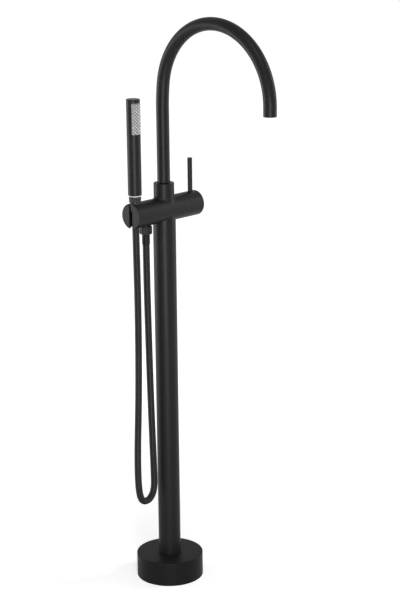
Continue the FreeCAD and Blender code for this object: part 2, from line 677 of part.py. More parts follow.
# ---------------------------------------------------------------- diverter
def diverter():
    """Pull knob at the back: out sends the water to the shower, and a spring draws it back in."""
    axis = "barrel_height"
    x = "-diverter_place"
    gland = turned("diverter_gland_body", [
        ("diverter_stem_radius + 0.08", 0), (f"diverter_bore - {FIT}", 0), (f"diverter_bore - {FIT}", 8),
        ("diverter_stem_radius + 2.5", 9.5), ("diverter_stem_radius + 0.08", 9.5)],
        (x, "barrel_radius - 8.5", axis), "+Y")
    node("diverter_gland", gland)
    shoulder = "15.95 - diverter_travel"
    stem = turned("diverter_stem_body", [
        (0, -7.5), ("diverter_stem_radius + 1", -7.5), ("diverter_stem_radius + 1", -5.75),
        ("diverter_stem_radius", -5.75), ("diverter_stem_radius", -3.4), ("diverter_bore - 2.5", -3.4),
        ("diverter_bore - 2.5", -2), ("diverter_stem_radius + 1", -2),
        ("diverter_stem_radius + 1", shoulder), ("diverter_stem_radius", shoulder),
        ("diverter_stem_radius", "barrel_radius + 9"), (0, "barrel_radius + 9")], (x, 0, axis), "+Y")
    node("diverter_stem", stem)
    seal = tube("diverter_seal_body", "diverter_bore - 0.1", f"diverter_stem_radius + {FIT}", 2.25,
                (x, -5.7, axis), "+Y")
    node("diverter_seal", seal)
    knob = turned("diverter_knob_body", [
        (f"diverter_stem_radius + {FIT}", 0), ("diverter_knob_radius - 2.5", 0),
        ("diverter_knob_radius - 2.5", 3), ("diverter_knob_radius - 0.5", 4.5),
        ("diverter_knob_radius", 6), ("diverter_knob_radius", 13),
        ("diverter_knob_radius - 1", 14), (0, 14), (0, 8.3), (f"diverter_stem_radius + {FIT}", 8.3)],
        (x, "barrel_radius + 1.5", axis), "+Y")
    node("diverter_knob", knob)


def diverter_spring():
    """Return spring: one wire round the stem, between the stem's collar and the gland."""
    wire, coil_radius, turns = 0.4, 4.6, 7
    start, end = -1.95, dim("barrel_radius") - 8.55
    pitch = (end - start - 2 * wire) / turns
    centre = Vector(-dim("diverter_place"), 0, dim("barrel_height"))
    points = []
    for quarter in range(8 * turns + 1):
        angle = math.pi * quarter / 4
        along = start + wire + pitch * quarter / 8
        points.append(centre + Vector(coil_radius * math.cos(angle), along, coil_radius * math.sin(angle)))
    edges = [Part.Arc(*points[i:i + 3]).toShape() for i in range(0, len(points) - 2, 2)]
    path = Part.Wire(edges)
    section = Part.Wire(Part.makeCircle(wire, points[0], edges[0].tangentAt(edges[0].FirstParameter)))
    spring = doc.addObject("Part::Feature", "diverter_spring_body")
    spring.Shape = path.makePipeShell([section], True, False)
    print(f"spring: gap between turns {pitch - 2 * wire:.2f} mm, volume {spring.Shape.Volume:.1f}, "
          f"section x length {math.pi * wire ** 2 * path.Length:.1f}")
    node("diverter_spring", spring)


# ---------------------------------------------------------------- shower outlet
def shower_outlet():
    """Threaded nipple under the barrel with the hose's hexagon nut, washer and crimped ferrule."""
    x = "-outlet_place"
    top = "barrel_height - barrel_radius"
    nipple = turned("nipple_body", [
        (4, -9.2), ("outlet_thread_radius", -9.2), ("outlet_thread_radius", 7.5), (4, 7.5)], (x, 0, top))
    node("shower_outlet_nipple", nipple)
    valve = turned("check_valve_body", [
        (1.5, 0), (4 - FIT, 0), (4 - FIT, 7), (2.5, 7), (2.5, 2), (1.5, 2)], (x, 0, f"{top} - 6"))
    node("shower_check_valve", valve)

    height = "outlet_nut_top - outlet_nut_bottom"
    flat = "outlet_nut_flats / 2"
    nut = hexagon("outlet_nut_blank", flat, height, (x, 0, "outlet_nut_bottom"), spin(15))
    corner = turned("outlet_nut_round", [
        (0, 0), (flat, 0), (f"{flat} + 1.3", 1.2), (f"{flat} + 1.3", f"{height} - 1.2"),
        (flat, height), (0, height)], (x, 0, "outlet_nut_bottom"))
    shaped = doc.addObject("Part::Common", "outlet_nut_shaped")
    shaped.Base, shaped.Tool = nut, corner
    thread = rod("outlet_nut_thread", f"outlet_thread_radius + {FIT}", 20, (x, 0, "outlet_nut_bottom + 3"))
    way = rod("outlet_nut_way", f"ferrule_radius - 0.6 + {FIT}", 10, (x, 0, "outlet_nut_bottom - 2"))
    node("hose_hex_nut", cut("outlet_nut_cut", shaped, [thread, way]))

    washer = tube("lower_washer_body", "outlet_thread_radius - 0.2", 4, 2, (x, 0, "outlet_nut_bottom + 4.5"))
    node("hose_lower_washer", washer)
    ferrule = turned("lower_ferrule_body", [
        ("hose_bore", 0), ("ferrule_radius - 0.45", 0), ("ferrule_radius", 3), ("ferrule_radius", 17.5),
        ("ferrule_radius - 0.6", 20), ("ferrule_radius - 0.6", 24.05), ("outlet_thread_radius - 0.2", 24.05),
        ("outlet_thread_radius - 0.2", 25.5), ("hose_bore", 25.5)], (x, 0, "ferrule_bottom"))
    node("hose_lower_ferrule", ferrule)


# ---------------------------------------------------------------- handset
def handset():
    """Stick handset: a tube with a nozzle panel, a light threaded inlet and the hose's cone nut."""
    x = "-holder_place"
    inner = "handset_radius - handset_wall"
    shell = turned("handset_blank", [
        (f"handset_thread_radius + {FIT}", 0), ("handset_radius - 0.5", 0), ("handset_radius", 0.5),
        ("handset_radius", "handset_top - handset_bottom - 0.6"),
        ("handset_radius - 0.6", "handset_top - handset_bottom"), (0, "handset_top - handset_bottom"),
        (0, "handset_top - handset_bottom - 3"), (inner, "handset_top - handset_bottom - 3"), (inner, 18),
        (f"handset_thread_radius + {FIT}", 18)], (x, 0, "handset_bottom"))

    def sector(name, radius, half_angle, bottom, top):
        """A wedge of a cylinder about the handset's axis, centred on -Y."""
        made = rod(name, radius, f"({top}) - ({bottom})", (x, 0, bottom), spin(-90 - value(half_angle)))
        bind(made, "Angle", f"2 * ({half_angle})")
        return made

    window = sector("spray_window", "handset_radius + 5", "spray_half_angle", "spray_bottom", "spray_top")
    node("handset_body", cut("handset_cut", shell, [window]))

    panel = sector("spray_sector", "handset_radius", "spray_half_angle - 0.5", "spray_bottom + 0.15",
                   "spray_top - 0.15")
    hollow = rod("spray_hollow", f"{inner} + 0.1", 80, (x, 0, "spray_bottom - 5"))
    node("spray_face", cut("spray_face_cut", panel, [hollow]))

    chamber = turned("chamber_blank", [
        (f"{inner} - 2.4", 0), (f"{inner} - {FIT}", 0), (f"{inner} - {FIT}", 76), (0, 76), (0, 74),
        (f"{inner} - 2.4", 74)], (x, 0, "spray_bottom - 13"))
    chamber_window = sector("chamber_window", "handset_radius", "spray_half_angle - 8", "spray_bottom + 3",
                            "spray_top - 3")
    keep = rod("chamber_core", f"{inner} - 3", 120, (x, 0, "spray_bottom - 20"))
    node("spray_chamber", cut("chamber_cut", chamber, [cut("chamber_window_ring", chamber_window, [keep])]))

    inlet = turned("inlet_body", [
        (7.5, 0), ("handset_thread_radius", 0), ("handset_thread_radius", 7.3), ("ring_radius - 0.3", 7.3),
        ("ring_radius", 7.6), ("ring_radius", 8.65), ("ring_radius - 0.3", 8.95),
        ("handset_thread_radius", 8.95), ("handset_thread_radius", 25), (7.5, 25)],
        (x, 0, "handset_bottom - 9"))
    node("handset_inlet", inlet)
    restrictor = tube("restrictor_body", 7.5 - FIT, 2.5, 3, (x, 0, "handset_bottom - 7"))
    node("flow_restrictor", restrictor)

    height = "cone_top - cone_bottom"
    nut = turned("cone_nut_body", [
        (8, 0), ("cone_small_radius - 0.3", 0), ("cone_small_radius", 0.3),
        ("cone_large_radius", f"{height} - 0.4"), ("cone_large_radius - 0.4", height),
        (f"handset_thread_radius + {FIT}", height), (f"handset_thread_radius + {FIT}", 18), (8, 18)],
        (x, 0, "cone_bottom"))
    node("hose_cone_nut", nut)

    ferrule = turned("upper_ferrule_body", [
        ("hose_bore", 0), ("hose_radius + 0.6", 0), ("hose_radius + 0.6", 18.3), (9.8, 18.3), (9.8, 20.1),
        ("hose_bore", 20.1)], (x, 0, "cone_bottom"))
    node("hose_upper_ferrule", ferrule)
    washer = tube("upper_washer_body", 9.6, "hose_bore", 2, (x, 0, "cone_bottom + 20.1"))
    node("hose_upper_washer", washer)


# ---------------------------------------------------------------- shower hose
# The hose's route, from the handset's ferrule down to the bend and up to the shower outlet.
HOSE_ROUTE = [
    (-77.0, 0.0, 777.0),
    (-76.4, 0.0, 712.0),
    (-75.4, -0.3, 610.0),
    (-76.9, -1.2, 500.0),
    (-81.7, -3.0, 390.0),
    (-88.7, -5.1, 300.8),
    (-90.5, -6.0, 243.9),
    (-87.8, -5.6, 201.2),
    (-76.8, -3.7, 179.5),
    (-52.5, 0.4, 176.9),
    (-37.4, 3.0, 195.3),
    (-38.2, 2.9, 237.6),
    (-40.7, 2.5, 300.5),
    (-44.1, 1.8, 390.0),
    (-46.9, 1.0, 491.0),
    (-49.2, 0.3, 590.0),
    (-50.2, 0.0, 655.0),
    (-50.2, 0.0, 707.0),
]
ROUND_SHARE = 0.45  # of the shorter run, taken by each arc


def hose_path():
    """Straight runs joined by tangent arcs, each as large as its two runs allow."""
    points = [Vector(*p) for p in HOSE_ROUTE]
    edges, at, radii = [], points[0], []
    for before, corner, after in zip(points, points[1:], points[2:]):
        run_in, run_out = corner - before, after - corner
        turn = run_in.getAngle(run_out)
        reach = ROUND_SHARE * min(run_in.Length, run_out.Length)
        radius = reach / math.tan(turn / 2)
        enter = corner - run_in.normalize() * reach
        leave = corner + run_out.normalize() * reach
        bisector = (run_out - run_in).normalize()
        middle = corner + bisector * (radius / math.cos(turn / 2) - radius)
        edges.append(Part.LineSegment(at, enter).toShape())
        edges.append(Part.Arc(enter, middle, leave).toShape())
        radii.append(radius)
        at = leave
    edges.append(Part.LineSegment(at, points[-1]).toShape())
    print("hose arc radii, mm:", ", ".join(f"{r:.0f}" for r in radii))
    return Part.Wire(edges)


def shower_hose():
    """Metal-wound hose, hung in one long loop from the handset's ferrule to the shower outlet."""
    path = hose_path()
    start, down = Vector(*HOSE_ROUTE[0]), Vector(0, 0, -1)
    pipes = []
    for radius in (dim("hose_radius"), dim("hose_bore")):
        section = Part.Wire(Part.makeCircle(radius, start, down))
        pipes.append(path.makePipeShell([section], True, False))
    hose = doc.addObject("Part::Feature", "shower_hose_body")
    hose.Shape = pipes[0].cut(pipes[1])
    ring = math.pi * (dim("hose_radius") ** 2 - dim("hose_bore") ** 2)
    print(f"hose: length {path.Length:.1f} mm, volume {hose.Shape.Volume:.0f}, "
          f"section x length {ring * path.Length:.0f}")
    node("shower_hose", hose)


floor_flange()
clamp_screws()
base_cover()
supply()
top_screw_holes = column()
mixer_body(top_screw_holes)
spigot_ring()
cartridge()
lever()
spout()
diverter()
diverter_spring()
shower_outlet()
handset()
shower_hose()
doc.recompute()

# ---------------------------------------------------------------- check and export
faults = []
for obj in doc.Objects:
    if "Invalid" in obj.State or "Error" in obj.State:
        faults.append(f"{obj.Label}: {obj.State}")
for name, obj in NODES.items():
    if obj.Shape.isNull() or not obj.Shape.isValid() or not obj.Shape.Solids:
        faults.append(f"{name}: no valid shape")
if faults:
    raise RuntimeError("; ".join(faults))

for name, obj in NODES.items():
    obj.Shape.exportStep(f"parts/{name}.step")
    print(f"{name}: {len(obj.Shape.Solids)} solid(s), {obj.Shape.Volume / 1000:.2f} cm3")
print(len(NODES), "nodes")
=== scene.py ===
import math

import bpy
import numpy as np
from mathutils import Matrix, Vector


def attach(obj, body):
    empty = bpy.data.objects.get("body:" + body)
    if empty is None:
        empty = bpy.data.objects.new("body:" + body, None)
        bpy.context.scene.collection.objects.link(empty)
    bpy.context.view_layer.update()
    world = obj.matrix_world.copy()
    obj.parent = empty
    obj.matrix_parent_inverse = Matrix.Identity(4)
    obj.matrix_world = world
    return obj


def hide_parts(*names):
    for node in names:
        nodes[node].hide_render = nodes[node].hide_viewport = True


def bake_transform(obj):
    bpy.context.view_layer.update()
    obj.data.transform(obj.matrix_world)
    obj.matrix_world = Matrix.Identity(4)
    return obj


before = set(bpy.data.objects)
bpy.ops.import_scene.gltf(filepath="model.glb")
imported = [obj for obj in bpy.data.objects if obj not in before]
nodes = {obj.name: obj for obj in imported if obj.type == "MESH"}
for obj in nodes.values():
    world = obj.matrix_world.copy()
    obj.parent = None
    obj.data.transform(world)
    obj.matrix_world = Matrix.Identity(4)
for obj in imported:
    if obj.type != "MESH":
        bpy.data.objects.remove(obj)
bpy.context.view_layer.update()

# ---------------------------------------------------------------- column, base cover and mixer barrel
# Brass castings and steel tube under one matte black powder coat, baked on. It gives the eye a very fine
# orange peel and a soft, wide sheen, with nothing metallic.


def to_linear(hex_colour):
    """The sRGB hex colour as linear RGBA: each channel goes through the sRGB curve's inverse."""
    srgb = np.array([int(hex_colour[i:i + 2], 16) for i in (1, 3, 5)]) / 255
    linear = np.where(srgb <= 0.04045, srgb / 12.92, ((srgb + 0.055) / 1.055) ** 2.4)
    return (*linear.tolist(), 1.0)


def add_node(tree, kind, links=None, **settings):
    """Adds a node; settings name its properties or its input sockets, links its inputs by socket."""
    made = tree.nodes.new(kind)
    for name, setting in settings.items():
        if hasattr(made, name):
            setattr(made, name, setting)
        else:
            made.inputs[name.replace("_", " ")].default_value = setting
    for socket, source in (links or {}).items():
        tree.links.new(source, made.inputs[socket])
    return made


def new_material(name):
    """An empty node material and its tree."""
    material = bpy.data.materials.new(name)
    material.use_nodes = True
    material.node_tree.nodes.clear()
    return material, material.node_tree


def finish_material(tree, surface):
    """Links the surface to the material's output."""
    add_node(tree, "ShaderNodeOutputMaterial", {"Surface": surface.outputs[0]})


def black_coat(name, colour, roughness, peel_mm, peel_strength, ior):
    """A black coat, paint or plating, through which no metal shows.

    Its bump wanders at the size of its peel or blast grain, and its roughness in wide, faint clouds.
    """
    cloud_mm, cloud_change = 45, 0.03
    material, tree = new_material(name)
    place = add_node(tree, "ShaderNodeTexCoord")
    peel = add_node(tree, "ShaderNodeTexNoise", {"Vector": place.outputs["Object"]},
                    Scale=1000 / peel_mm, Detail=2.0, Roughness=0.5)
    cloud = add_node(tree, "ShaderNodeTexNoise", {"Vector": place.outputs["Object"]},
                     Scale=1000 / cloud_mm, Detail=3.0, Roughness=0.55)
    rough = add_node(tree, "ShaderNodeMapRange", {"Value": cloud.outputs["Fac"]},
                     To_Min=roughness - cloud_change, To_Max=roughness + cloud_change)
    bump = add_node(tree, "ShaderNodeBump", {"Height": peel.outputs["Fac"]},
                    Strength=peel_strength, Distance=0.0001)
    coat = add_node(tree, "ShaderNodeBsdfPrincipled",
                    {"Roughness": rough.outputs["Result"], "Normal": bump.outputs["Normal"]},
                    Base_Color=to_linear(colour), IOR=ior)
    finish_material(tree, coat)
    return material


def dress(material, *names):
    """Gives the material to CAD nodes."""
    for name in names:
        mesh = nodes[name].data
        mesh.materials.clear()
        mesh.materials.append(material)


# peel at 0.9 mm: real orange peel on a tap is nearer 0.3 mm, which is too fine to show
# IOR 1.2: the resin's is 1.5, but the flatting grains of a matte coat scatter most of its mirror part
matte_black = black_coat("matte_black_powder_coat", "#161617", 0.42, 0.9, 0.18, 1.2)
dress(matte_black, "column_tube", "mixer_body", "lever_hub", "lever_pin", "spout_tube",
      "spout_collar_nut", "aerator_housing", "diverter_knob")
# the cover is spun steel, under a flatter copy of the powder coat whose colour is a little darker as
# painted shade
shaded_cover_black = black_coat("matte_black_cover_coat_painted_shade", "#141415", 0.48, 0.9, 0.18, 1.15)
dress(shaded_cover_black, "base_cover")

# ---------------------------------------------------------------- floor flange, screws and bare metal
# The plate, its screws, the strainers and the diverter's stem are turned stainless steel, a cool grey
# with streaked gloss. The outside set screws are blackened steel, and the brass unions, spindle and spout
# foot are left bare, a pale gold.


def turned_metal(name, colour, roughness, line_mm):
    """Bare turned metal: tool marks drawn out round the upright axis move its roughness and its bump."""
    drawn_out, rough_change = 25, 0.08
    material, tree = new_material(name)
    place = add_node(tree, "ShaderNodeTexCoord")
    stretched = add_node(tree, "ShaderNodeMapping", {"Vector": place.outputs["Object"]},
                         Scale=(1 / drawn_out, 1 / drawn_out, 1.0))
    lines = add_node(tree, "ShaderNodeTexNoise", {"Vector": stretched.outputs["Vector"]},
                     Scale=1000 / line_mm, Detail=3.0)
    rough = add_node(tree, "ShaderNodeMapRange", {"Value": lines.outputs["Fac"]},
                     To_Min=roughness - rough_change, To_Max=roughness + rough_change)
    bump = add_node(tree, "ShaderNodeBump", {"Height": lines.outputs["Fac"]},
                    Strength=0.15, Distance=0.0001)
    metal = add_node(tree, "ShaderNodeBsdfPrincipled",
                     {"Roughness": rough.outputs["Result"], "Normal": bump.outputs["Normal"]},
                     Base_Color=to_linear(colour), Metallic=1.0)
    finish_material(tree, metal)
    return material


stainless = turned_metal("stainless_steel", "#b4b3b0", 0.32, 0.6)
dress(stainless, "floor_flange", "column_clamp_screws", "inlet_strainers", "diverter_stem",
      "diverter_spring")
dress(turned_metal("black_oxide_steel", "#333334", 0.45, 0.6),
      "column_top_screws", "lever_grub_screw", "spout_stop_screw")
dress(turned_metal("machined_brass", "#c8a55e", 0.3, 0.5),
      "lower_hose_unions", "upper_hose_unions", "cartridge_spindle", "spout_adapter")

# ---------------------------------------------------------------- supply hoses
# Two rubber hoses inside the column, under a braid of stainless wire. The braid is a bright grey net of
# small crossed bands.


def wire_braid(name, colour, wire_mm):
    """Wire braid: two crossed sets of slanting bands, whose product is the height of the wires.

    At scale 1 the wave texture's bands lie 2 pi / 20 metres apart.
    """
    band_gap = 2 * math.pi / 20
    material, tree = new_material(name)
    place = add_node(tree, "ShaderNodeTexCoord")
    bands = []
    for slant in (45, -45):
        turned = add_node(tree, "ShaderNodeMapping", {"Vector": place.outputs["Object"]},
                          Rotation=(math.radians(slant), math.radians(slant), 0.0))
        bands.append(add_node(tree, "ShaderNodeTexWave", {"Vector": turned.outputs["Vector"]},
                              Scale=1000 / wire_mm * band_gap, Distortion=0.0))
    weave = add_node(tree, "ShaderNodeMath", {0: bands[0].outputs["Fac"], 1: bands[1].outputs["Fac"]},
                     operation="MULTIPLY")
    bump = add_node(tree, "ShaderNodeBump", {"Height": weave.outputs["Value"]},
                    Strength=0.6, Distance=0.0003)
    braid = add_node(tree, "ShaderNodeBsdfPrincipled", {"Normal": bump.outputs["Normal"]},
                     Base_Color=to_linear(colour), Metallic=1.0, Roughness=0.35)
    finish_material(tree, braid)
    return material


dress(wire_braid("stainless_braid", "#a9a9a8", 1.2), "hot_supply_hose", "cold_supply_hose")

# ---------------------------------------------------------------- seals, washers, cartridge and valves
# Moulded nitrile rings are dull and nearly black, acetal washers and valves a waxy off-white, and nylon
# filled with glass a dull grey. The two discs are lapped alumina, ivory and almost polished.


def moulded(name, colour, roughness, grain_mm, ior=1.5):
    """Moulded plastic, rubber or ceramic: a fine grain from the tool's face moves roughness and bump."""
    rough_change = 0.05
    material, tree = new_material(name)
    place = add_node(tree, "ShaderNodeTexCoord")
    grain = add_node(tree, "ShaderNodeTexNoise", {"Vector": place.outputs["Object"]},
                     Scale=1000 / grain_mm, Detail=2.0)
    rough = add_node(tree, "ShaderNodeMapRange", {"Value": grain.outputs["Fac"]},
                     To_Min=roughness - rough_change, To_Max=roughness + rough_change)
    bump = add_node(tree, "ShaderNodeBump", {"Height": grain.outputs["Fac"]},
                    Strength=0.2, Distance=0.0001)
    plastic = add_node(tree, "ShaderNodeBsdfPrincipled",
                       {"Roughness": rough.outputs["Result"], "Normal": bump.outputs["Normal"]},
                       Base_Color=to_linear(colour), IOR=ior)
    finish_material(tree, plastic)
    return material


dress(moulded("nitrile_rubber", "#1a1a1a", 0.7, 0.4),
      "base_cover_ring", "spigot_o_ring", "cartridge_port_seals", "spout_o_rings", "diverter_seal",
      "hose_lower_washer", "hose_upper_washer")
dress(moulded("acetal", "#dcdbd5", 0.4, 0.5),
      "spout_glide_washer", "shower_check_valve", "flow_restrictor", "spray_chamber")
dress(moulded("glass_filled_nylon", "#8b8c8d", 0.55, 0.5),
      "cartridge_housing", "aerator_insert")
dress(moulded("alumina_ceramic", "#e8e4da", 0.12, 0.3, ior=1.76),
      "fixed_ceramic_disc", "moving_ceramic_disc")

# ---------------------------------------------------------------- nipple, nuts, gland and ferrules
# Small brass pieces that show at the seams and under the barrel. They are blasted and plated black, so
# they look a little darker and duller than the powder coat.
plated_black = black_coat("black_plated_brass", "#111112", 0.5, 0.9, 0.12, 1.2)
dress(plated_black, "shower_outlet_nipple", "hose_hex_nut", "hose_lower_ferrule", "hose_upper_ferrule",
      "diverter_gland", "cartridge_ring_nut")

# ---------------------------------------------------------------- diverter's return spring
# One bright stainless wire wound round the diverter's stem, from the stem's collar to the gland. It is
# made again here.
SPRING_X, SPRING_Z = -0.025, 0.7685
SPRING_START, SPRING_END = -0.00195, 0.0162
SPRING_WIRE, SPRING_RADIUS, SPRING_TURNS = 0.0004, 0.0046, 7
SPRING_STEPS, SPRING_SIDES = 28, 8


def make_mesh_object(name, points, faces, material):
    """A smooth mesh object at the origin from points and faces."""
    mesh = bpy.data.meshes.new(name)
    mesh.from_pydata(points.tolist(), [], faces)
    mesh.materials.append(material)
    mesh.polygons.foreach_set("use_smooth", np.full(len(mesh.polygons), True))
    mesh.update()
    made = bpy.data.objects.new(name, mesh)
    bpy.context.scene.collection.objects.link(made)
    return made


def along_line(line):
    """Unit vectors along a line of points."""
    tangent = np.gradient(line, axis=0)
    return tangent / np.linalg.norm(tangent, axis=1, keepdims=True)


def ring_quads(rings, sides, flipped=False):
    """Faces between neighbouring rings of points, closed round the seam; flipped turns them over."""
    ring, step = np.meshgrid(np.arange(rings - 1), np.arange(sides), indexing="ij")
    near, far = ring * sides, (ring + 1) * sides
    after = (step + 1) % sides
    corners = [near + step, far + step, far + after, near + after]
    if flipped:
        corners = [corners[i] for i in (0, 3, 2, 1)]
    return np.stack(corners, axis=-1).reshape(-1, 4)


def swept_tube(line, side, reach):
    """A closed tube along a line; side crosses the line at each point, and reach is its radius at each
    point and turn.

    Each point is the line's, plus the reach by the cosine of the turn along the side vector, plus the
    reach by the sine of the turn along the vector across both. A cap closes each end.
    """
    side = side / np.linalg.norm(side, axis=1, keepdims=True)
    other = np.cross(side, along_line(line))
    sides = reach.shape[1]
    turn = np.linspace(0, 2 * np.pi, sides, endpoint=False)
    points = (line[:, None] + side[:, None] * (reach * np.cos(turn))[:, :, None]
              + other[:, None] * (reach * np.sin(turn))[:, :, None])
    last = (len(line) - 1) * sides
    caps = [list(range(sides)), list(range(last + sides - 1, last - 1, -1))]
    return points.reshape(-1, 3), ring_quads(len(line), sides).tolist() + caps


# the helix goes round the stem at the coil's radius and climbs evenly from the first turn to the last
spring_first, spring_last = SPRING_START + SPRING_WIRE, SPRING_END - SPRING_WIRE
spring_turn = np.linspace(0, 2 * np.pi * SPRING_TURNS, SPRING_TURNS * SPRING_STEPS + 1)
spring_out = np.stack([np.cos(spring_turn), 0 * spring_turn, np.sin(spring_turn)], axis=-1)
spring_line = spring_out * SPRING_RADIUS + (SPRING_X, 0, SPRING_Z)
spring_line[:, 1] = np.linspace(spring_first, spring_last, len(spring_turn))
spring_reach = np.full((len(spring_turn), SPRING_SIDES), SPRING_WIRE)
spring_points, spring_faces = swept_tube(spring_line, spring_out, spring_reach)
spring = make_mesh_object("return_spring", spring_points, spring_faces, stainless)
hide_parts("diverter_spring")
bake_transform(spring)

# ---------------------------------------------------------------- handset, its panel and ring
# A round stick in satin black paint, smoother than the powder coat. The nozzle panel is one flush moulding
# of dull grey silicone rubber with a lattice of soft nubs, each with a water hole in its end. The thin
# ring on the handset's inlet is white acetal.
PANEL_BOTTOM, PANEL_TOP = 0.9267, 0.9865
HANDSET_X, HANDSET_RADIUS = -0.077, 0.01325
satin_black = black_coat("satin_black_paint", "#18181a", 0.41, 0.9, 0.12, 1.2)
dress(satin_black, "handset_body")
dress(moulded("grey_silicone", "#6a6a6b", 0.62, 0.4), "spray_face")
dress(moulded("white_acetal", "#dededc", 0.4, 0.5), "handset_inlet")


def on_handset(angle, reach, height):
    """Points at an angle from the handset's front, a distance from its axis and a height."""
    return np.stack([HANDSET_X + reach * np.sin(angle), -reach * np.cos(angle), height], axis=-1)


def nozzle_lattice():
    """Centres of the nubs as angle about the handset and height: rows of four and three in turn."""
    row_step, column_step = 0.00296, math.radians(30)
    low_margin, high_margin = 0.0022, 0.0018
    heights = np.arange(PANEL_BOTTOM + low_margin, PANEL_TOP - high_margin, row_step)
    rows = []
    for i, height in enumerate(heights):
        count = 4 - i % 2
        angles = (np.arange(count) - (count - 1) / 2) * column_step
        rows.append(np.column_stack([angles, np.full(count, height)]))
    return np.concatenate(rows)


def turned_array(centres, profile, sides):
    """One turned shape at every nozzle: its profile of radius and height goes round the nozzle's axis.

    Each point is the foot on the handset's surface, plus the height along the outward normal, plus the
    radius along the sideways and upward directions by the cosine and sine of the turn. Caps close both
    ends.
    """
    turn = np.linspace(0, 2 * np.pi, sides, endpoint=False)
    across = (profile[:, None, 0] * np.cos(turn)).ravel()
    upward = (profile[:, None, 0] * np.sin(turn)).ravel()
    lift = np.repeat(profile[:, 1], sides)
    angle, height = centres[:, :1], centres[:, 1:]
    points = on_handset(angle, HANDSET_RADIUS + lift, height + upward)
    points[..., 0] += across * np.cos(angle)
    points[..., 1] += across * np.sin(angle)
    caps = np.stack([np.arange(sides)[::-1], np.arange(len(across) - sides, len(across))])
    first = np.arange(len(centres))[:, None, None] * len(across)
    quads = (ring_quads(len(profile), sides, flipped=True) + first).reshape(-1, 4)
    caps = (caps + first).reshape(-1, sides)
    return points.reshape(-1, 3), quads.tolist() + caps.tolist()


nozzles = nozzle_lattice()
NOZZLE_SIDES = 10
# a nub 3.1 mm wide and 1.1 mm high with a 0.9 mm hole, its foot sunk 0.4 mm into the panel
nub_profile = np.array([[1.55, -0.4], [1.5, 0.1], [1.3, 0.9], [1.15, 1.1], [0.55, 1.1], [0.45, 0.95],
                        [0.45, 0.3]]) / 1000
nub_points, nub_faces = turned_array(nozzles, nub_profile, NOZZLE_SIDES)
pale_silicone = moulded("pale_grey_silicone", "#bdbdbe", 0.6, 0.4)
nubs = make_mesh_object("nozzle_nubs", nub_points, nub_faces, pale_silicone)
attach(nubs, "handset")
# painted shade: a dark disc just above each hole's floor stands in for the shade deep in each hole
hole_profile = np.array([[0.44, 0.4], [0.44, 0.5]]) / 1000
hole_points, hole_faces = turned_array(nozzles, hole_profile, NOZZLE_SIDES)
hole_shade_silicone = moulded("painted_hole_shade_silicone", "#2b2b2c", 0.3, 0.4)
holes = make_mesh_object("nozzle_holes", hole_points, hole_faces, hole_shade_silicone)
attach(holes, "handset")

# ---------------------------------------------------------------- hose's cone nut
# A tapered brass nut, turned and plated black, with a diamond knurl rolled into the part above the holder
# for the fingers to grip. It is glossier than the painted handset, so the diamonds catch the light.
CONE_BOTTOM, CONE_TOP = 0.777, 0.8065
CONE_SMALL, CONE_LARGE = 0.00925, 0.01175
KNURL_BOTTOM, KNURL_TOP = 0.7945, 0.8055
knurled_black = black_coat("black_plated_knurled_brass", "#1a1a1b", 0.3, 0.9, 0.1, 1.3)
dress(knurled_black, "hose_cone_nut")


def knurled_band(bottom, top, ribs, pitch, depth):
    """A band round the cone: radius is the cone's own, plus the depth times the height of the diamonds.

    The diamonds are the product of two rounded waves of the angle, which slope up to the right and to
    the left by the pitch. The sine of the way up the band, made steeper, lets them run out at both ends,
    where the band's edges are sunk into the nut.
    """
    steps_per_rib, rows, sunk, steepness = 8, 31, 0.00005, 3
    angle = np.linspace(0, 2 * np.pi, ribs * steps_per_rib, endpoint=False)
    rise = np.linspace(0, 1, rows)
    height = bottom + (top - bottom) * rise
    cone = CONE_SMALL + (CONE_LARGE - CONE_SMALL) * (height - CONE_BOTTOM) / (CONE_TOP - CONE_BOTTOM)
    fade = np.clip(np.sin(np.pi * rise) * steepness, 0, 1)
    slope = 2 * np.pi * height[:, None] / pitch
    wave = (0.5 + 0.5 * np.cos(ribs * angle + slope)) * (0.5 + 0.5 * np.cos(ribs * angle - slope))
    reach = cone[:, None] - sunk + depth * fade[:, None] * wave
    points = on_handset(np.broadcast_to(angle, reach.shape), reach,
                        np.broadcast_to(height[:, None], reach.shape))
    return points.reshape(-1, 3), ring_quads(rows, len(angle), flipped=True).tolist()


# diamonds 4 mm apart: a real knurl is nearer 1.5 mm, which is too fine to show
knurl_points, knurl_faces = knurled_band(KNURL_BOTTOM, KNURL_TOP, ribs=18, pitch=0.004, depth=0.0009)
knurl = make_mesh_object("cone_nut_knurl", knurl_points, knurl_faces, knurled_black)
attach(knurl, "hose_end")

# ---------------------------------------------------------------- shower hose
# One length of interlocked metal strip wound to a 14 mm tube, plated black and crimped at both ends. Its
# grooves catch the light as fine rungs. It hangs from the handset's nut in one loop and comes back up to
# the outlet under the barrel.
HOSE_RADIUS, HOSE_SIDES, HOSE_STEP = 0.007, 20, 0.0006
HOSE_PITCH, HOSE_GROOVE = 0.003, 0.0004
HOSE_ROUTE = [
    (-0.0770, 0.0000, 0.7770), (-0.0764, 0.0000, 0.7120), (-0.0754, -0.0003, 0.6100),
    (-0.0769, -0.0012, 0.5000), (-0.0817, -0.0030, 0.3900), (-0.0887, -0.0051, 0.3008),
    (-0.0905, -0.0060, 0.2439), (-0.0878, -0.0056, 0.2012), (-0.0768, -0.0037, 0.1795),
    (-0.0525, 0.0004, 0.1769), (-0.0374, 0.0030, 0.1953), (-0.0382, 0.0029, 0.2376),
    (-0.0407, 0.0025, 0.3005), (-0.0441, 0.0018, 0.3900), (-0.0469, 0.0010, 0.4910),
    (-0.0492, 0.0003, 0.5900), (-0.0502, 0.0000, 0.6550), (-0.0502, 0.0000, 0.7070),
]


